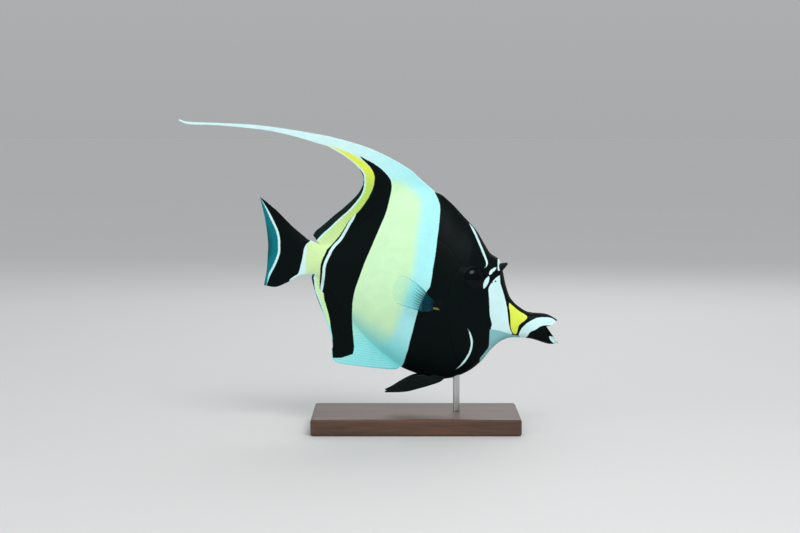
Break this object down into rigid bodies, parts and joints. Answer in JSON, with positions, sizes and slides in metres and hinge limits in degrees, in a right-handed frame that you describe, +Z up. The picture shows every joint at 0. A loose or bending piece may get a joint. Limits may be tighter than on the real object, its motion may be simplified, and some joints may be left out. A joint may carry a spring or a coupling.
{
  "type": "moorish idol fish model",
  "caption": "Life-size still model of a moorish idol, a tall thin reef fish with a drawn-out snout and a long streamer on its dorsal fin, held over a flat base by a short rod.",
  "frame": {"origin": "on the floor under the middle of the whole model's length, in the fish's own middle plane", "axes": "+X towards the snout along the longest side, +Y to the fish's left along the shortest side, +Z up"},
  "size_m": [0.2274, 0.072, 0.1854],
  "materials": {
    "skin": "painted skin with a fine grain of scales: blue-black and white to lemon bands, yellow saddle on the snout",
    "fin": "painted ribbed membrane, in the body's bands, white streamer and black tail",
    "clear_fin": "thin see-through membrane with fine rays",
    "eye": "wet gloss, dark brown iris and black pupil",
    "horn": "smooth blue-black bone",
    "stand_base": "dark stained wood, satin",
    "stand_rod": "brushed steel"
  },
  "bodies": {
    "root": {"head": "skin", "jaw_lower": "skin", "trunk_front": "skin", "trunk_rear": "skin", "tail_stalk": "skin", "dorsal_fin_front": "fin", "dorsal_fin_rear": "fin", "dorsal_streamer": "fin", "anal_fin": "fin", "tail_fin": "fin", "pectoral_fin_left": "clear_fin", "pectoral_fin_right": "clear_fin", "pelvic_fin_left": "fin", "pelvic_fin_right": "fin", "eye_left": "eye", "eye_right": "eye", "horn_left": "horn", "horn_right": "horn", "stand_base": "stand_base", "stand_rod": "stand_rod"}
  },
  "joints": []
}
